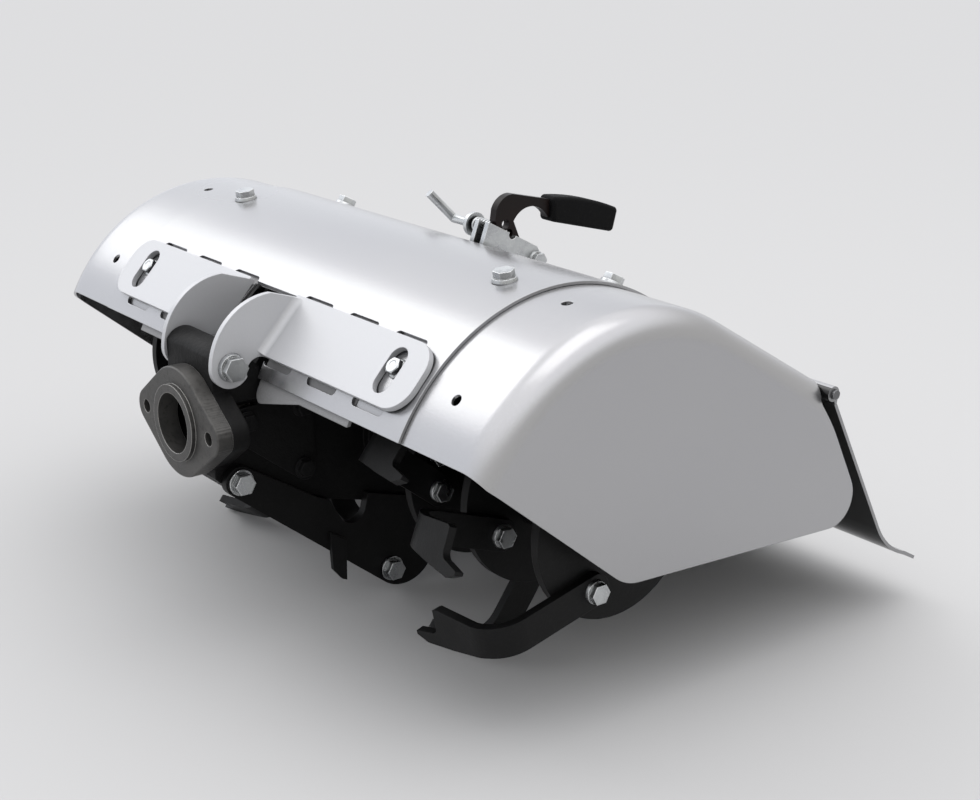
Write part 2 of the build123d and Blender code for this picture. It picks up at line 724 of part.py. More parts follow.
with BuildPart() as blade:
    # seen along its width: the flat part on the disc, the bend, and the cutting end
    strip = Plane(origin=(0, 0, 0), x_dir=(0, -1, 0), z_dir=(0, 0, 1))
    with BuildSketch(strip):
        with BuildLine():
            flat = Line((hole_run - root_radius, 0), (bend_start, 0))
            bend = JernArc(flat @ 1, flat % 1, bend_radius, bend_angle)
            Line(bend @ 1, bend @ 1 + blade_run * (bend % 1))
        trace(line_width=tine_thickness)
    extrude(amount=-60)
    # seen from ahead: a little wider beyond the bend, then notched, with a beak at its end
    ahead = Plane(origin=(0, 0, 0), x_dir=(1, 0, 0), z_dir=(0, -1, 0))
    with BuildSketch(ahead):
        with BuildLine():
            Polyline((-4, -27), (22, -27), (57, -23), (60, -24.5), (60.5, -40))
            ThreePointArc((60.5, -40), (62, -45.5), (67, -47.5))
            Polyline((67, -47.5), (84.5, -50.5), (84, -53), (72.7, -58), (46, -56.5), (12, -53), (-4, -53),
                     (-4, -27))
        make_face()
    extrude(amount=160, mode=Mode.INTERSECT)
    # the rounded root and the hole, seen along the axle
    along = Plane(origin=(0, 0, 0), x_dir=(0, -1, 0), z_dir=(1, 0, 0))
    with BuildSketch(along):
        with Locations((hole_run, hole_drop)):
            Circle(root_radius)
        Polygon((hole_run, 20), (170, 20), (170, 60), (hole_run, 60), align=None)
    extrude(amount=100, both=True, mode=Mode.INTERSECT)
    with BuildSketch(along):
        with Locations((hole_run, hole_drop)):
            Circle(5.1)
    extrude(amount=20, both=True, mode=Mode.SUBTRACT)
blade_left = mirror(blade.part, about=Plane.YZ)

for number, x in enumerate(disc_places, start=1):
    with BuildPart() as tines:
        for disc_number, face_side, way, pitch in tine_table:
            if disc_number == number:
                stand_x = x + face_side * (disc_thickness + tine_thickness) / 2
                for turn in (pitch, pitch + 180):
                    with Locations(Location(at(stand_x, 0, 0), (turn, 0, 0))):
                        add(blade.part if way > 0 else blade_left)
    save(tines, "tines_%d" % number)

with BuildPart() as tine_bolts:
    grip = disc_thickness + tine_thickness
    for disc_number, face_side, way, pitch in tine_table:
        x = disc_places[disc_number - 1]
        out = 1 if x > 0 else -1
        head_x = x + out * (disc_thickness / 2 + (tine_thickness if face_side == out else 0))
        for turn in (pitch, pitch + 180):
            stand = Plane(origin=at(head_x, *tine_hole(turn)), x_dir=(0, 1, 0), z_dir=(out, 0, 0))
            add(flange_bolt(stand, 10.0, 15.0, 7.5, 5.0, grip, 7.0).part)
save(tine_bolts, "tine_bolts")
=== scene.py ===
import json
import math
import bmesh
import bpy
import numpy as np
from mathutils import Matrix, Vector


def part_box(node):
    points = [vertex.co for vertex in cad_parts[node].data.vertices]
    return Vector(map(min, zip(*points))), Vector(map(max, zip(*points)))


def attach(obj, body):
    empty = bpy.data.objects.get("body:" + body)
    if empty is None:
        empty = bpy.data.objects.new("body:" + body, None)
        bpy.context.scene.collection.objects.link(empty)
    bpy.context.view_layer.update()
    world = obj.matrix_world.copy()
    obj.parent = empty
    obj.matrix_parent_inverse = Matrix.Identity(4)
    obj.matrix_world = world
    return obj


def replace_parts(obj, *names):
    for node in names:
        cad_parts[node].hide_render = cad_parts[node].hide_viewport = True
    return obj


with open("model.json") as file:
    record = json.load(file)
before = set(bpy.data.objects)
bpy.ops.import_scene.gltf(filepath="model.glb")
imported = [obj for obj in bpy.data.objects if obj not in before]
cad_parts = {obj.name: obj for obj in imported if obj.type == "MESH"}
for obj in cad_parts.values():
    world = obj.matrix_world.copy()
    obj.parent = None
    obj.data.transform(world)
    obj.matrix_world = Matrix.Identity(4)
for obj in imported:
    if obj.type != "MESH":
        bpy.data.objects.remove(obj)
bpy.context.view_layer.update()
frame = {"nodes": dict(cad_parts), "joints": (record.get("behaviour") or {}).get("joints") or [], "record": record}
print("stage 1: the frame is in, with", len(frame["nodes"]), "parts")

joints = {joint["name"]: joint for joint in frame["joints"]}
axleAt = Vector(joints["rotor_spin"]["pos_m"])      # the middle of the rotor's axle
shaftAt = Vector(joints["coupler_spin"]["pos_m"])   # a point on the input shaft's line

number = "NodeSocketFloat"
direction = "NodeSocketVector"


def setInputs(node, values):
    for key, value in values.items():
        node.inputs[key].default_value = value


def addNode(tree, kind, place, inputs=None, **settings):
    node = tree.nodes.new(kind)
    node.location = place
    for key, value in settings.items():
        setattr(node, key, value)
    setInputs(node, inputs or {})
    return node


def joinUp(tree, *pairs):
    # each pair is the socket that a link leaves and the one that it enters
    for source, target in pairs:
        tree.links.new(source, target)


def newGroup(name, inputs, outputs):
    group = bpy.data.node_groups.new(name, "ShaderNodeTree")
    for title, kind, default in inputs:
        socket = group.interface.new_socket(title, in_out="INPUT", socket_type=kind)
        socket.default_value = default
    for title, kind in outputs:
        group.interface.new_socket(title, in_out="OUTPUT", socket_type=kind)
    entry = addNode(group, "NodeGroupInput", (-900, 0)).outputs
    leaving = addNode(group, "NodeGroupOutput", (600, 0)).inputs
    return group, entry, leaving


def makeSoftEdges():
    # rounds the light over every sharp edge, and marks where the edges are
    group, entry, leaving = newGroup(
        "softEdges", [("Radius", number, 0.0006)], [("Normal", direction), ("Edge", number)])
    rounded = addNode(group, "ShaderNodeBevel", (-600, 0), samples=6)
    true = addNode(group, "ShaderNodeNewGeometry", (-600, -200))
    likeness = addNode(group, "ShaderNodeVectorMath", (-350, -100), operation="DOT_PRODUCT")
    mark = addNode(group, "ShaderNodeMapRange", (-100, -100), {"From Min": 0.995, "From Max": 0.80})
    joinUp(group,
           (entry["Radius"], rounded.inputs["Radius"]),
           (rounded.outputs["Normal"], likeness.inputs[0]),
           (true.outputs["Normal"], likeness.inputs[1]),
           (likeness.outputs["Value"], mark.inputs["Value"]),
           (rounded.outputs["Normal"], leaving["Normal"]),
           (mark.outputs["Result"], leaving["Edge"]))
    return group


def makeMottle():
    # a soft cloud of noise on the piece's own coordinates, stretched between two limits
    group, entry, leaving = newGroup(
        "mottle", [("Scale", number, 20.0), ("Detail", number, 3.0), ("Low", number, 0.35), ("High", number, 0.65)],
        [("Value", number)])
    place = addNode(group, "ShaderNodeTexCoord", (-900, -200))
    noise = addNode(group, "ShaderNodeTexNoise", (-500, 0), {"Roughness": 0.55})
    spread = addNode(group, "ShaderNodeMapRange", (-100, 0), interpolation_type="SMOOTHSTEP")
    joinUp(group,
           (place.outputs["Object"], noise.inputs["Vector"]),
           (entry["Scale"], noise.inputs["Scale"]),
           (entry["Detail"], noise.inputs["Detail"]),
           (noise.outputs["Fac"], spread.inputs["Value"]),
           (entry["Low"], spread.inputs["From Min"]),
           (entry["High"], spread.inputs["From Max"]),
           (spread.outputs["Result"], leaving["Value"]))
    return group


def makeGrain():
    # two sizes of noise mixed, as a height
    group, entry, leaving = newGroup(
        "grain", [("Fine Scale", number, 900.0), ("Fine Share", number, 0.5), ("Wide Scale", number, 60.0)],
        [("Height", number)])
    place = addNode(group, "ShaderNodeTexCoord", (-900, -200))
    fine = addNode(group, "ShaderNodeTexNoise", (-500, 100), {"Detail": 2.0})
    wide = addNode(group, "ShaderNodeTexNoise", (-500, -150), {"Detail": 2.0})
    both = addNode(group, "ShaderNodeMix", (-100, 0), data_type="FLOAT")
    joinUp(group,
           (place.outputs["Object"], fine.inputs["Vector"]),
           (place.outputs["Object"], wide.inputs["Vector"]),
           (entry["Fine Scale"], fine.inputs["Scale"]),
           (entry["Wide Scale"], wide.inputs["Scale"]),
           (entry["Fine Share"], both.inputs[0]),
           (wide.outputs["Fac"], both.inputs[2]),
           (fine.outputs["Fac"], both.inputs[3]),
           (both.outputs[0], leaving["Height"]))
    return group


def makeCornerShading():
    # paints shade into the corners where little of the room is seen: an occlusion mask that the finishes use to
    # darken their colour
    group, entry, leaving = newGroup(
        "cornerShading", [("Distance", number, 0.012), ("Share", number, 0.7)], [("Mask", number)])
    shadeMask = addNode(group, "ShaderNodeAmbientOcclusion", (-500, 0), samples=6)
    mask = addNode(group, "ShaderNodeMapRange", (-100, 0), {"From Min": 0.85, "From Max": 0.35, "To Min": 0.0})
    joinUp(group,
           (entry["Distance"], shadeMask.inputs["Distance"]),
           (shadeMask.outputs["AO"], mask.inputs["Value"]),
           (entry["Share"], mask.inputs["To Max"]),
           (mask.outputs["Result"], leaving["Mask"]))
    return group


def makeFacing():
    # marks the faces that point along a direction of the piece's own axes
    group, entry, leaving = newGroup("facing", [("Towards", direction, (0.0, 0.0, 1.0))], [("Mask", number)])
    place = addNode(group, "ShaderNodeTexCoord", (-600, 0))
    likeness = addNode(group, "ShaderNodeVectorMath", (-350, 0), operation="DOT_PRODUCT")
    mask = addNode(group, "ShaderNodeMapRange", (-100, 0), {"From Min": -0.02, "From Max": 0.04})
    joinUp(group,
           (place.outputs["Normal"], likeness.inputs[0]),
           (entry["Towards"], likeness.inputs[1]),
           (likeness.outputs["Value"], mask.inputs["Value"]),
           (mask.outputs["Result"], leaving["Mask"]))
    return group


def makeTurning():
    # the lathe's grooves: a sine of the distance from a line that runs front to back
    group, entry, leaving = newGroup(
        "turning", [("Centre", direction, (0.0, 0.0, 0.0)), ("Per Metre", number, 9000.0)], [("Height", number)])
    place = addNode(group, "ShaderNodeTexCoord", (-900, 0))
    offset = addNode(group, "ShaderNodeVectorMath", (-700, 0), operation="SUBTRACT")
    flat = addNode(group, "ShaderNodeVectorMath", (-500, 0), {1: (1.0, 0.0, 1.0)}, operation="MULTIPLY")
    far = addNode(group, "ShaderNodeVectorMath", (-300, 0), operation="LENGTH")
    turns = addNode(group, "ShaderNodeMath", (-100, 0), operation="MULTIPLY")
    wave = addNode(group, "ShaderNodeMath", (100, 0), operation="SINE")
    height = addNode(group, "ShaderNodeMapRange", (300, 0), {"From Min": -1.0, "From Max": 1.0})
    joinUp(group,
           (place.outputs["Object"], offset.inputs[0]),
           (entry["Centre"], offset.inputs[1]),
           (offset.outputs["Vector"], flat.inputs[0]),
           (flat.outputs["Vector"], far.inputs[0]),
           (far.outputs["Value"], turns.inputs[0]),
           (entry["Per Metre"], turns.inputs[1]),
           (turns.outputs[0], wave.inputs[0]),
           (wave.outputs[0], height.inputs["Value"]),
           (height.outputs["Result"], leaving["Height"]))
    return group


softEdges, mottle, grain = makeSoftEdges(), makeMottle(), makeGrain()
cornerShading, facing, turning = makeCornerShading(), makeFacing(), makeTurning()


def useGroup(tree, group, place, inputs):
    node = addNode(tree, "ShaderNodeGroup", place, node_tree=group)
    setInputs(node, inputs)
    return node.outputs


def mixColours(tree, place, factor, first, second):
    # factor, first and second are sockets or plain values; the numbers are a colour Mix node's own sockets
    mix = addNode(tree, "ShaderNodeMix", place, data_type="RGBA")
    for index, value in ((0, factor), (6, first), (7, second)):
        if isinstance(value, bpy.types.NodeSocket):
            tree.links.new(value, mix.inputs[index])
        else:
            mix.inputs[index].default_value = value
    return mix.outputs[2]


def mixNumbers(tree, place, factor, first, second):
    mix = addNode(tree, "ShaderNodeMix", place, {0: factor}, data_type="FLOAT")
    joinUp(tree, (first, mix.inputs[2]), (second, mix.inputs[3]))
    return mix.outputs[0]


def mapValue(tree, place, value, low, high):
    node = addNode(tree, "ShaderNodeMapRange", place, {"To Min": low, "To Max": high})
    tree.links.new(value, node.inputs["Value"])
    return node.outputs["Result"]


def rgb(red, green, blue):
    return (red, green, blue, 1.0)


def makeFinish(name, look):
    # one recipe for every painted, cast, plated and moulded surface; look holds its own numbers
    material = bpy.data.materials.new(name)
    material.use_nodes = True
    tree = material.node_tree
    tree.nodes.clear()
    out = addNode(tree, "ShaderNodeOutputMaterial", (900, 0))
    shader = addNode(tree, "ShaderNodeBsdfPrincipled", (600, 0), look["shader"])
    edges = useGroup(tree, softEdges, (-500, -500), {"Radius": look["edgeRadius"]})
    cloud = useGroup(tree, mottle, (-500, 200), look["cloud"])["Value"]
    flecks = useGroup(tree, mottle, (-500, 0), look["flecks"])["Value"]
    colour = mixColours(tree, (-200, 200), cloud, look["colour"], look["cloudColour"])
    fleckShare = mapValue(tree, (-200, 0), flecks, 0.0, look["fleckShare"])
    colour = mixColours(tree, (50, 150), fleckShare, colour, look["fleckColour"])
    # lighter edges, partly wear and partly a painted highlight along every sharp edge
    edgeWearGlintShare = mapValue(tree, (-200, -350), edges["Edge"], 0.0, look["edgeWearGlintShare"])
    colour = mixColours(tree, (300, 100), edgeWearGlintShare, colour, look["edgeWearGlintColour"])
    if "cornerShade" in look:   # painted shade where two surfaces meet: the colour darkens by the occlusion mask
        shadeMask = useGroup(tree, cornerShading, (50, 400), look["cornerShade"])["Mask"]
        colour = mixColours(tree, (400, 300), shadeMask, colour, look["cornerShadeColour"])
    if "inside" in look:   # the face that points this way is painted near-black and loses its metal: painted shade for the flap's inner side
        innerShade = useGroup(tree, facing, (50, 600), {"Towards": look["inside"]})["Mask"]
        colour = mixColours(tree, (450, 500), innerShade, colour, look["insideColour"])
        metal = mapValue(tree, (450, 700), innerShade, look["shader"]["Metallic"], 0.0)
        tree.links.new(metal, shader.inputs["Metallic"])
    height = useGroup(tree, grain, (-200, -600), look["grain"])["Height"]
    if "rings" in look:   # the lathe's grooves round the shaft's line
        groove = useGroup(tree, turning, (-200, -800), look["rings"])["Height"]
        height = mixNumbers(tree, (50, -700), look["ringShare"], height, groove)
    bump = addNode(tree, "ShaderNodeBump", (300, -500), {"Strength": look["bump"], "Distance": look["bumpDepth"]})
    joinUp(tree,
           (colour, shader.inputs["Base Color"]),
           (mapValue(tree, (50, -100), cloud, *look["roughness"]), shader.inputs["Roughness"]),
           (height, bump.inputs["Height"]),
           (edges["Normal"], bump.inputs["Normal"]),
           (bump.outputs["Normal"], shader.inputs["Normal"]),
           (shader.outputs["BSDF"], out.inputs["Surface"]))
    return material


silverLook = {
    "colour": rgb(0.41, 0.41, 0.42), "cloudColour": rgb(0.43, 0.43, 0.435),
    "cloud": {"Scale": 4.0, "Detail": 2.0, "Low": 0.2, "High": 0.8}, "roughness": (0.25, 0.28),
    "fleckColour": rgb(0.62, 0.63, 0.65), "fleckShare": 0.2,
    "flecks": {"Scale": 1800.0, "Detail": 1.0, "Low": 0.5, "High": 0.7},
    "edgeWearGlintColour": rgb(0.78, 0.79, 0.82), "edgeWearGlintShare": 0.35, "edgeRadius": 0.0008,
    "cornerShadeColour": rgb(0.16, 0.16, 0.165), "cornerShade": {"Distance": 0.014, "Share": 0.5},
    "grain": {"Fine Scale": 650.0, "Fine Share": 0.97, "Wide Scale": 40.0}, "bump": 0.05, "bumpDepth": 0.0006,
    "shader": {"Metallic": 0.9, "Coat Weight": 0.15, "Coat Roughness": 0.25},
}
bracketLook = dict(
    silverLook, colour=rgb(0.48, 0.485, 0.50), cloudColour=rgb(0.51, 0.515, 0.53), roughness=(0.42, 0.48),
    shader={"Metallic": 0.35, "Coat Weight": 0.1, "Coat Roughness": 0.3})
# the backing plate seen through the slots: the hood's silver darkened as painted shade, for the same paint in
# shadow
backingShadeLook = dict(
    silverLook, colour=rgb(0.20, 0.20, 0.203), cloudColour=rgb(0.24, 0.24, 0.243), edgeWearGlintColour=rgb(0.2, 0.2, 0.2),
    roughness=(0.45, 0.55), shader={"Metallic": 0.2})
# the flap: the hood's silver, with its inner face painted near-black as painted shade
flapInnerShadeLook = dict(silverLook, inside=(0.0, -0.88, -0.47), insideColour=rgb(0.008, 0.008, 0.0082))
rodLook = dict(silverLook, colour=rgb(0.12, 0.12, 0.123), cloudColour=rgb(0.15, 0.15, 0.153))
blackLook = {
    "colour": rgb(0.003, 0.003, 0.0031), "cloudColour": rgb(0.005, 0.005, 0.0051),
    "cloud": {"Scale": 18.0, "Detail": 4.0}, "roughness": (0.42, 0.56),
    "fleckColour": rgb(0.010, 0.010, 0.010), "fleckShare": 0.4,
    "flecks": {"Scale": 420.0, "Detail": 2.0, "Low": 0.52, "High": 0.75},
    "edgeWearGlintColour": rgb(0.015, 0.015, 0.0155), "edgeWearGlintShare": 0.6, "edgeRadius": 0.0007,
    "grain": {"Fine Scale": 420.0, "Fine Share": 0.6, "Wide Scale": 90.0}, "bump": 0.22, "bumpDepth": 0.0008,
    "shader": {"Specular IOR Level": 0.17},
}
castLook = dict(
    blackLook, colour=rgb(0.003, 0.003, 0.0032), roughness=(0.52, 0.64), edgeRadius=0.0018,
    grain={"Fine Scale": 520.0, "Fine Share": 0.45, "Wide Scale": 190.0}, bump=0.55, bumpDepth=0.0012)
spurLook = dict(
    blackLook, colour=rgb(0.007, 0.0045, 0.004), cloudColour=rgb(0.011, 0.006, 0.0055), roughness=(0.34, 0.46),
    bump=0.12)
gripLook = dict(
    blackLook, colour=rgb(0.003, 0.003, 0.0033), cloudColour=rgb(0.0045, 0.0045, 0.005), roughness=(0.62, 0.72),
    edgeWearGlintShare=0.2, grain={"Fine Scale": 1100.0, "Fine Share": 0.9, "Wide Scale": 90.0}, bump=0.4,
    shader={"Specular IOR Level": 0.1})
steelLook = {
    "colour": rgb(0.060, 0.059, 0.057), "cloudColour": rgb(0.095, 0.092, 0.088),
    "cloud": {"Scale": 30.0, "Detail": 5.0}, "roughness": (0.42, 0.55),
    "fleckColour": rgb(0.028, 0.027, 0.026), "fleckShare": 0.5,
    "flecks": {"Scale": 260.0, "Detail": 4.0, "Low": 0.5, "High": 0.72},
    "edgeWearGlintColour": rgb(0.50, 0.49, 0.47), "edgeWearGlintShare": 0.85, "edgeRadius": 0.0011,
    "rings": {"Centre": tuple(shaftAt), "Per Metre": 5200.0}, "ringShare": 0.55,
    "grain": {"Fine Scale": 500.0, "Fine Share": 0.5, "Wide Scale": 160.0}, "bump": 0.35, "bumpDepth": 0.0008,
    "shader": {"Metallic": 0.65},
}
zincLook = {
    "colour": rgb(0.42, 0.43, 0.44), "cloudColour": rgb(0.55, 0.565, 0.57),
    "cloud": {"Scale": 60.0, "Detail": 3.0}, "roughness": (0.22, 0.34),
    "fleckColour": rgb(0.72, 0.74, 0.72), "fleckShare": 0.3,
    "flecks": {"Scale": 700.0, "Detail": 2.0, "Low": 0.5, "High": 0.7},
    "edgeWearGlintColour": rgb(0.93, 0.94, 0.94), "edgeWearGlintShare": 0.85, "edgeRadius": 0.0009,
    "cornerShadeColour": rgb(0.05, 0.05, 0.05), "cornerShade": {"Distance": 0.008, "Share": 0.9},
    "grain": {"Fine Scale": 700.0, "Fine Share": 0.6, "Wide Scale": 160.0}, "bump": 0.12, "bumpDepth": 0.0005,
    "shader": {"Metallic": 1.0},
}
looks = {
    "silverPaint": silverLook, "bracketPaint": bracketLook, "backingShadedSilver": backingShadeLook, "flapPaintInnerShade": flapInnerShadeLook,
    "rodPaint": rodLook, "blackPaint": blackLook, "castBlack": castLook, "spurBlack": spurLook,
    "gripRubber": gripLook, "turnedSteel": steelLook, "zincPlate": zincLook,
}
slotFinish = {
    "silver_paint": "silverPaint", "tine_steel": "blackPaint", "dark_casting": "castBlack",
    "dark_paint": "blackPaint", "bare_steel": "turnedSteel", "spur_steel": "spurBlack",
    "black_grip": "gripRubber", "zinc": "zincPlate",
}
ownFinish = {   # the nodes whose finish isn't their slot's usual one
    "bracket_left": "bracketPaint", "bracket_right": "bracketPaint", "bracket_backing_left": "backingShadedSilver",
    "bracket_backing_right": "backingShadedSilver", "rear_flap": "flapPaintInnerShade", "flap_hinge_rod": "rodPaint",
    "gearbox_bolts": "castBlack",
}
finishes = {name: makeFinish(name, look) for name, look in looks.items()}
partSlot = {part["node"]: part["material_slot"] for part in frame["record"]["subparts"]}
for name, piece in frame["nodes"].items():
    piece.data.materials.clear()
    piece.data.materials.append(finishes[ownFinish.get(name, slotFinish[partSlot[name]])])
print("stage 2: finishes on every part")

mergeWithin = 1e-6                                     # metres: points nearer than this become one
pegRows = np.array([0.0, 1.0, 1.0, 0.0])[:, None]      # a closed peg has a pole, two rims and a pole


def gridMesh(name, points, outwards=True):
    # points[row, column] is a surface on a grid; rows or columns that meet themselves are merged
    rows, columns = points.shape[:2]
    index = np.arange(rows * columns).reshape(rows, columns)
    corners = np.stack([index[:-1, :-1], index[:-1, 1:], index[1:, 1:], index[1:, :-1]], axis=-1)
    mesh = bpy.data.meshes.new(name)
    mesh.from_pydata(points.reshape(-1, 3).tolist(), [], corners.reshape(-1, 4).tolist())
    shape = bmesh.new()
    shape.from_mesh(mesh)
    bmesh.ops.remove_doubles(shape, verts=shape.verts, dist=mergeWithin)
    bmesh.ops.dissolve_degenerate(shape, edges=shape.edges, dist=mergeWithin / 10)
    bmesh.ops.delete(shape, geom=[edge for edge in shape.edges if not edge.link_faces], context="EDGES")
    if outwards:
        bmesh.ops.recalc_face_normals(shape, faces=shape.faces)
    shape.to_mesh(mesh)
    shape.free()
    mesh.shade_smooth()
    return mesh


def addPiece(name, mesh):
    piece = bpy.data.objects.new(name, mesh)
    bpy.context.scene.collection.objects.link(piece)
    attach(piece, "frame")
    return piece


def cutAway(piece, points):
    # takes a closed surface out of a piece, and leaves the result as a plain mesh
    peg = bpy.data.objects.new("peg", gridMesh("peg", points))
    bpy.context.scene.collection.objects.link(peg)
    cut = piece.modifiers.new("hole", "BOOLEAN")
    cut.operation, cut.object, cut.solver = "DIFFERENCE", peg, "EXACT"
    ready = piece.evaluated_get(bpy.context.evaluated_depsgraph_get())
    mesh = bpy.data.meshes.new_from_object(ready)
    piece.modifiers.clear()
    piece.data = mesh
    bpy.data.objects.remove(peg)


spring = {"coils": 7.5, "wire": 0.0016, "stepsPerCoil": 20, "sides": 10}


def makeSpring():
    # a helix along X: x grows with the angle t while y and z go round a circle, and a small circle square
    # to the path is carried along it, closed to a point at each end
    low, high = (np.array(corner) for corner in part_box("pin_spring"))
    middle, wire = (low + high) / 2, spring["wire"]
    reach = (high[2] - low[2]) / 2 - wire
    t = np.linspace(0, 2 * np.pi * spring["coils"], int(spring["coils"] * spring["stepsPerCoil"]) + 1)[:, None]
    around = np.linspace(0, 2 * np.pi, spring["sides"] + 1)[None, :, None]
    pitch = (high[0] - low[0] - 2 * wire) / t[-1, 0]
    outward = np.stack([0 * t, np.cos(t), np.sin(t)], axis=-1)
    along = np.stack([pitch + 0 * t, -reach * np.sin(t), reach * np.cos(t)], axis=-1)
    sideways = np.cross(along / np.linalg.norm(along, axis=-1, keepdims=True), outward)
    path = np.stack([low[0] + wire + pitch * t, middle[1] + reach * np.cos(t), middle[2] + reach * np.sin(t)],
                    axis=-1)
    thick = wire * np.where((t == t[0]) | (t == t[-1]), 0.0, 1.0)[..., None]
    mesh = gridMesh("springWire", path + thick * (outward * np.cos(around) + sideways * np.sin(around)))
    mesh.materials.append(finishes["zincPlate"])
    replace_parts(addPiece("springWire", mesh), "pin_spring")


makeSpring()
print("stage 3: the lock pin's spring")

plate = {   # metres and degrees: the plates stand square to this angle over the axle
    "angle": 42.2, "across": 0.194, "face": 0.1763,
    "slotHalfWidth": 0.0098, "slotHalfSpacing": 0.0100, "cutIn": 0.02, "cutOut": 0.01, "sides": 48, "sharp": 30,
}
bolt = {   # flats and radii count from the middle, heights from the hood that the bolt sits on
    "seat": 0.1709, "upSlot": 0.004, "sides": 48, "sharp": 25,
    "flats": 0.0062, "head": 0.0062, "chamfer": 0.0006, "dish": 0.0005,
    "crown": 0.93, "dishRim": 0.62, "dishFloor": 0.55,     # shares of the flats
    "flange": 0.0083, "flangeEdge": 0.0011, "coneTop": 0.0019, "coneOut": 0.0012, "hexFoot": 0.0022,
    "shank": 0.0048, "grip": 0.0135, "nutFlats": 0.0070, "nutHeight": 0.0045, "threadPast": 0.0015,
}


def onPlate(across, up, out):
    # a place over the plate, from arrays: along the machine, up the plate and out from the axle
    angle = math.radians(plate["angle"])
    outward = np.array([0, -math.cos(angle), math.sin(angle)])
    upward = np.array([0, math.sin(angle), math.cos(angle)])
    sideways = np.array([1.0, 0, 0])
    return (np.array(axleAt) * (0, 1, 1)
            + across[..., None] * sideways + up[..., None] * upward + out[..., None] * outward)


def openSlot(node, name, hand):
    # the CAD plate, with its slot opened to a wide obround: a circle pulled apart along the plate
    mesh = frame["nodes"][node].data.copy()
    shape = bmesh.new()
    shape.from_mesh(mesh)
    bmesh.ops.remove_doubles(shape, verts=shape.verts, dist=mergeWithin)
    shape.to_mesh(mesh)
    shape.free()
    piece = addPiece(name, mesh)
    turn = np.linspace(0, 2 * np.pi, plate["sides"] + 1)[None, :] + 0.01   # off the places where the sine is 0
    across = hand * plate["across"] + pegRows * plate["slotHalfWidth"] * np.cos(turn)
    up = pegRows * (plate["slotHalfWidth"] * np.sin(turn) + plate["slotHalfSpacing"] * np.sign(np.sin(turn)))
    depth = np.array([-plate["cutIn"], -plate["cutIn"], plate["cutOut"], plate["cutOut"]])[:, None]
    cutAway(piece, onPlate(across, up, plate["face"] + depth + 0 * turn))
    piece.data.shade_smooth()
    piece.data.set_sharp_from_angle(angle=math.radians(plate["sharp"]))
    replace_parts(piece, node)


def makeSlotBolts():
    # each bolt is a profile of sizes and heights; where hexness is 1 the size is the distance to a flat,
    # and the outline follows size / cos(angle from the middle of the flat)
    turn = np.linspace(0, 2 * np.pi, bolt["sides"] + 1)[None, :]
    fromFlat = np.mod(turn, np.pi / 3) - np.pi / 6
    flats, shank, flange, nut = bolt["flats"], bolt["shank"], bolt["flange"], bolt["nutFlats"]
    under = -bolt["grip"]
    nutEnd = under - bolt["nutHeight"]
    threadEnd = nutEnd - bolt["threadPast"]
    top = bolt["head"] + bolt["chamfer"]
    floor = top - bolt["dish"]
    profile = np.array([   # size, height, hexness
        (0, threadEnd, 0), (shank, threadEnd, 0), (shank, nutEnd, 0), (nut, nutEnd, 1), (nut, under, 1),
        (shank, under, 0), (shank, 0, 0), (flange, 0, 0), (flange, bolt["flangeEdge"], 0),
        (flats + bolt["coneOut"], bolt["coneTop"], 0), (flats, bolt["hexFoot"], 1), (flats, bolt["head"], 1),
        (flats * bolt["crown"], top, 0), (flats * bolt["dishRim"], top, 0), (flats * bolt["dishFloor"], floor, 0),
        (0, floor, 0)])
    size, height, hexness = (profile[:, column][:, None] for column in range(3))
    spread = size * (1 + hexness * (1 / np.cos(fromFlat) - 1))
    both = [onPlate(hand * plate["across"] + spread * np.cos(turn), bolt["upSlot"] + spread * np.sin(turn),
                    bolt["seat"] + height + 0 * turn) for hand in (-1, 1)]
    mesh = gridMesh("slotBolts", np.concatenate(both))
    mesh.materials.append(finishes["zincPlate"])
    mesh.set_sharp_from_angle(angle=math.radians(bolt["sharp"]))
    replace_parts(addPiece("slotBolts", mesh), "bracket_bolts")


openSlot("bracket_right", "slotPlateRight", 1)
openSlot("bracket_left", "slotPlateLeft", -1)
makeSlotBolts()
print("stage 4: the slotted plates and their bolts")

endSheet = {   # metres and degrees; pairs are rearward and up from the axle
    "inner": 0.168, "outer": 0.330, "rollRadius": 0.1682, "rimRadius": 0.025, "wall": 0.0025, "droop": 0.009,
    "frontAngle": 27.0, "crownAngle": 121.0, "rearRun": 0.137, "rearStep": 0.016,
    "frontCorner": (-0.1551, 0.0770), "rollMeets": (-0.1511, 0.0737), "frontFade": 0.01,
    "lowFront": (-0.016, -0.0375), "lowFrontRound": 0.040, "lowRear": (0.254, -0.0534), "lowRearRound": 0.025,
    "rows": 120, "rollShare": 0.7, "flatColumns": 9, "rimColumns": 17, "capColumns": 8, "cornerPoints": 13,
    "holes": ((0.194, 44.5, 0.0055), (0.194, 82.0, 0.0055), (0.194, 120.0, 0.0055),       # across, angle, radius
              (0.2665, 42.2, 0.0045), (0.2665, 82.0, 0.0045), (0.2665, 120.0, 0.0045)),
    "holeSides": 24, "holeReach": 0.012, "sharp": 35,
}


def crossProduct(a, b):
    return a[..., 0] * b[..., 1] - a[..., 1] * b[..., 0]


def roundCorner(before, corner, after, radius):
    # an arc that touches both sides of a corner: two arms from its centre, mixed by the sines of the turn
    first, second = ((p - corner) / np.linalg.norm(p - corner) for p in (before, after))
    half = np.arccos(np.clip(first @ second, -1, 1)) / 2
    bisector = (first + second) / np.linalg.norm(first + second)
    centre = corner + bisector * radius / np.sin(half)
    start = corner + first * radius / np.tan(half) - centre
    stop = corner + second * radius / np.tan(half) - centre
    whole = np.arccos(np.clip(start @ stop / radius ** 2, -1, 1))
    turn = np.linspace(0, whole, endSheet["cornerPoints"])[:, None]
    return centre + (np.sin(whole - turn) * start + np.sin(turn) * stop) / np.sin(whole)


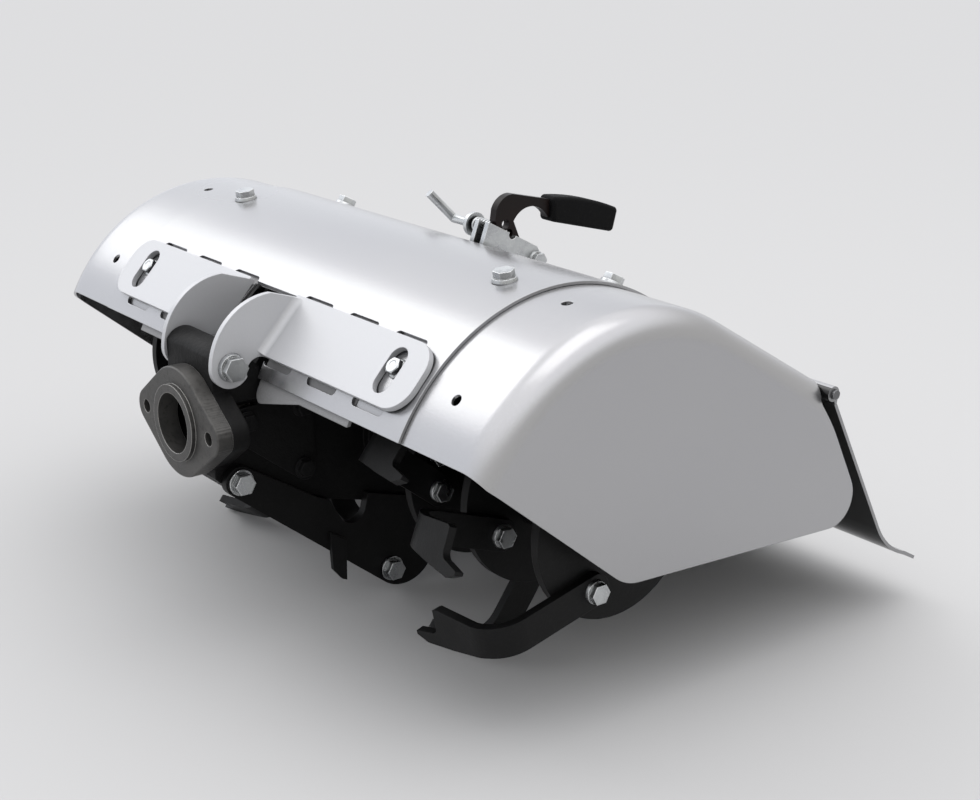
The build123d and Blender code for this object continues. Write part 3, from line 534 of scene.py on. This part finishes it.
def punchHole(piece, place, angle, size):
    # a round hole through the sheet, along the roll's own radius
    turn = np.linspace(0, 2 * np.pi, endSheet["holeSides"] + 1)[None, :, None]
    outward = np.array([0.0, -math.cos(angle), math.sin(angle)])
    across = np.array([1.0, 0.0, 0.0])
    middle = place * across + np.array(axleAt) * (0, 1, 1)
    reach = endSheet["holeReach"]
    depth = (endSheet["rollRadius"] + np.array([-reach, -reach, reach, reach]))[:, None, None]
    ring = size * pegRows[..., None] * (np.cos(turn) * across + np.sin(turn) * np.cross(outward, across))
    cutAway(piece, middle + depth * outward + ring)


def makeEndSheet(name, node, hand):
    # the sheet follows the roll and the rear slope; its section runs outwards, turns down through a quarter
    # circle of the rim's radius, and then crosses the flat end cap to the cap's lower edge
    look = endSheet
    crown, front = math.radians(look["crownAngle"]), math.radians(look["frontAngle"])
    square = np.array([-math.cos(crown), math.sin(crown)])    # out from the rear slope
    down = np.array([math.sin(crown), math.cos(crown)])       # along it, to the rear
    # each column's place across, and how far it has sunk below the roll
    rimStart = look["outer"] - look["rimRadius"]
    flatAcross = np.linspace(look["inner"], rimStart, look["flatColumns"] + 1)[:-1]
    turn = np.linspace(0, np.pi / 2, look["rimColumns"])
    across = np.concatenate([flatAcross, look["outer"] - look["rimRadius"] * (1 - np.sin(turn))])
    sunk = np.concatenate([0 * flatAcross, look["rimRadius"] * (1 - np.cos(turn))])[None, :]
    tilt = np.concatenate([0 * flatAcross, np.sin(turn) ** 2])[None, :]
    u = np.linspace(0, 1, look["rows"])[:, None]
    slopeShare = np.clip((u - look["rollShare"]) / (1 - look["rollShare"]), 0, 1)
    sunk = sunk + look["droop"] * tilt * slopeShare ** 2
    radius = look["rollRadius"] - sunk
    # the front edge: where each circle meets the line from the front corner to the cap's lower front corner
    frontCorner, lowFront, lowRear, rollMeets = (
        np.array(look[key]) for key in ("frontCorner", "lowFront", "lowRear", "rollMeets"))
    along = (lowFront - frontCorner) / np.linalg.norm(lowFront - frontCorner)
    back = frontCorner @ along
    reach = -back - np.sqrt(back ** 2 - frontCorner @ frontCorner + radius ** 2)
    meet = frontCorner + reach[..., None] * along
    begin = np.arctan2(meet[..., 1], -meet[..., 0])
    trim = front - np.arctan2(rollMeets[1], -rollMeets[0])
    begin = begin + trim * np.clip(1 - sunk / look["frontFade"], 0, 1)
    angle = begin + (crown - begin) * np.clip(u / look["rollShare"], 0, 1)
    # the rear edge: square to the slope for a step, then along the line to the cap's lower rear corner
    step = look["rollRadius"] * square + look["rearRun"] * down - look["rearStep"] * square
    fall = lowRear - step
    run = crossProduct(step - radius[..., None] * square, fall) / crossProduct(down, fall)
    run = np.where(sunk > look["rearStep"], run, look["rearRun"]) * slopeShare
    sideView = np.stack([-radius * np.cos(angle), radius * np.sin(angle)], axis=-1) + run[..., None] * down
    # the cap: straight lines from the rim's inner edge to the lower edge, matched by their share of its length
    upper = sideView[:, -1]
    edge = np.concatenate([
        upper[:1], roundCorner(upper[0], lowFront, lowRear, look["lowFrontRound"]),
        roundCorner(lowFront, lowRear, upper[-1], look["lowRearRound"]), upper[-1:]])
    gone = np.concatenate([[0], np.cumsum(np.linalg.norm(np.diff(edge, axis=0), axis=1))])
    shares = u[:, 0] * gone[-1]
    lower = np.stack([np.interp(shares, gone, edge[:, 0]), np.interp(shares, gone, edge[:, 1])], axis=-1)
    blend = np.linspace(0, 1, look["capColumns"] + 1)[1:][None, :, None]
    sideView = np.concatenate([sideView, upper[:, None] * (1 - blend) + lower[:, None] * blend], axis=1)
    across = np.concatenate([across, np.full(look["capColumns"], look["outer"])])
    points = np.empty(sideView.shape[:2] + (3,))
    points[..., 0] = hand * across
    points[..., 1:] = sideView + np.array(axleAt)[1:]
    mesh = gridMesh(name, points[:, ::hand], outwards=False)   # already outwards: the wall goes in from here
    mesh.materials.append(finishes["silverPaint"])
    piece = addPiece(name, mesh)
    sheet = piece.modifiers.new("wall", "SOLIDIFY")
    sheet.thickness, sheet.offset, sheet.use_even_offset = look["wall"], -1.0, True
    for place, holeAngle, size in look["holes"]:
        punchHole(piece, hand * place, math.radians(holeAngle), size)
    piece.data.set_sharp_from_angle(angle=math.radians(look["sharp"]))
    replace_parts(piece, node)


makeEndSheet("endSheetRight", "hood_extension_right", 1)
makeEndSheet("endSheetLeft", "hood_extension_left", -1)
print("stage 5: the two end sheets")

studio = {
    "floorColour": rgb(0.50, 0.50, 0.50), "floorRoughness": 0.9, "floorHalf": 40.0,
    "leftSky": rgb(1.62, 1.66, 1.76), "rightSky": rgb(1.05, 1.04, 1.02), "topSky": rgb(2.2, 2.2, 2.24),
    "dimSide": (0.94, 0.34, 0.0), "acrossFade": (-0.95, 0.5), "aboveFade": (0.35, 0.75), "skyStrength": 0.72,
}
sun = {"from": (-0.76, -0.20, 0.62), "power": 0.4, "spread": 36.0, "colour": (1.0, 0.99, 0.97)}
panel = {"place": (0.35, 0.1, 2.2), "target": (0.1, 0.0, 0.2), "size": (1.6, 1.2), "watts": 6.0,
         "colour": (1.0, 0.98, 0.96)}
eye = {"azimuth": 51.97, "elevation": 18.52, "fromAxle": (1.1504, -0.7859, 0.4829), "lens": 60.9,
       "sensor": 36.0, "near": 0.01, "far": 100.0}


def makeFloor():
    half = studio["floorHalf"]
    mesh = bpy.data.meshes.new("floor")
    mesh.from_pydata([(-half, -half, 0), (half, -half, 0), (half, half, 0), (-half, half, 0)], [], [(0, 1, 2, 3)])
    floor = bpy.data.objects.new("floor", mesh)
    bpy.context.scene.collection.objects.link(floor)
    pale = bpy.data.materials.new("paleFloor")
    pale.use_nodes = True
    setInputs(pale.node_tree.nodes["Principled BSDF"], {
        "Base Color": studio["floorColour"], "Roughness": studio["floorRoughness"], "Specular IOR Level": 0.0})
    mesh.materials.append(pale)


def makeSky():
    # the room is light on its left and overhead, and dim low down on its right
    world = bpy.data.worlds.new("studio")
    bpy.context.scene.world = world
    world.use_nodes = True
    tree = world.node_tree
    sky = tree.nodes["Background"]
    sky.inputs["Strength"].default_value = studio["skyStrength"]
    place = addNode(tree, "ShaderNodeTexCoord", (-900, 0))
    split = addNode(tree, "ShaderNodeSeparateXYZ", (-700, 0))
    sideways = addNode(tree, "ShaderNodeVectorMath", (-700, 200), {1: studio["dimSide"]}, operation="DOT_PRODUCT")
    across, above = (
        addNode(tree, "ShaderNodeMapRange", spot, {"From Min": fade[0], "From Max": fade[1]},
                interpolation_type="SMOOTHSTEP")
        for spot, fade in (((-500, 100), studio["acrossFade"]), ((-500, -200), studio["aboveFade"])))
    joinUp(tree,
           (place.outputs["Generated"], split.inputs["Vector"]),
           (place.outputs["Generated"], sideways.inputs[0]),
           (sideways.outputs["Value"], across.inputs["Value"]),
           (split.outputs["Z"], above.inputs["Value"]))
    low = mixColours(tree, (-250, 100), across.outputs["Result"], studio["leftSky"], studio["rightSky"])
    colour = mixColours(tree, (-50, 0), above.outputs["Result"], low, studio["topSky"])
    tree.links.new(colour, sky.inputs["Color"])


def placeLooking(thing, back):
    # turns a lamp or the camera so that it looks against the direction back
    thing.rotation_mode = "QUATERNION"
    thing.rotation_quaternion = (-Vector(back)).to_track_quat("-Z", "Y")
    bpy.context.scene.collection.objects.link(thing)


def makeSun():
    light = bpy.data.lights.new("windowLight", "SUN")
    light.energy, light.color, light.angle = sun["power"], sun["colour"], math.radians(sun["spread"])
    placeLooking(bpy.data.objects.new("windowLight", light), sun["from"])


def makePanel():
    light = bpy.data.lights.new("topPanel", "AREA")
    light.shape = "RECTANGLE"
    light.size, light.size_y = panel["size"]
    light.energy, light.color = panel["watts"], panel["colour"]
    lamp = bpy.data.objects.new("topPanel", light)
    lamp.location = panel["place"]
    placeLooking(lamp, Vector(panel["place"]) - Vector(panel["target"]))


def makeCamera():
    around, up = math.radians(eye["azimuth"]), math.radians(eye["elevation"])
    back = (math.sin(around) * math.cos(up), -math.cos(around) * math.cos(up), math.sin(up))
    camera = bpy.data.objects.new("camera", bpy.data.cameras.new("camera"))
    camera.data.sensor_width, camera.data.lens = eye["sensor"], eye["lens"]
    camera.data.clip_start, camera.data.clip_end = eye["near"], eye["far"]
    camera.location = axleAt + Vector(eye["fromAxle"])
    placeLooking(camera, back)
    bpy.context.scene.camera = camera


makeFloor()
makeSky()
makeSun()
makePanel()
makeCamera()
bpy.context.scene.view_settings.view_transform = "Standard"
print("stage 6: floor, light and camera")
